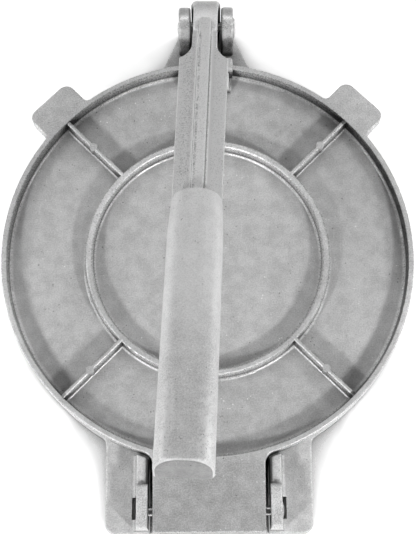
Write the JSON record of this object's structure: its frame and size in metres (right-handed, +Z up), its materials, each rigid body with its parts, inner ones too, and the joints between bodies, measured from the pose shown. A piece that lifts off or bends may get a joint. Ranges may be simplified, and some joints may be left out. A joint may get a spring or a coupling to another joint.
{
  "type": "tortilla press",
  "caption": "Round cast aluminium tortilla press: hinged upper plate with ribs and thumb tabs, base with a rear hinge, and a lever pinned in a front clevis.",
  "frame": {"origin": "centre of the object's box at the level of the table it stands on, on the plates' axis", "axes": "+Y from the rear hinge to the lever's clevis, +Z up out of the upper plate, +X along the hinge pins"},
  "size_m": [0.203, 0.269, 0.1338],
  "materials": {
    "cast_aluminium": "satin, as cast and tumbled",
    "steel_pin": "bright, cut and peened"
  },
  "bodies": {
    "base": {"base_plate": "cast_aluminium", "hinge_pin": "steel_pin", "lever_pin": "steel_pin"},
    "plate": {"upper_plate": "cast_aluminium"},
    "lever": {"press_lever": "cast_aluminium"}
  },
  "joints": [
    {"name": "plate_hinge", "type": "hinge", "parent": "base", "child": "plate", "pos_m": [0, -0.1237, 0.024], "axis": [1, 0, 0], "range_deg": [0, 17.2]},
    {"name": "lever_pivot", "type": "hinge", "parent": "base", "child": "lever", "pos_m": [0, 0.1212, 0.03], "axis": [-1, 0, 0], "range_deg": [0, 155]}
  ],
  "couplings": [
    {"joint": "lever_pivot", "follows": "plate_hinge", "ratio": 9}
  ]
}
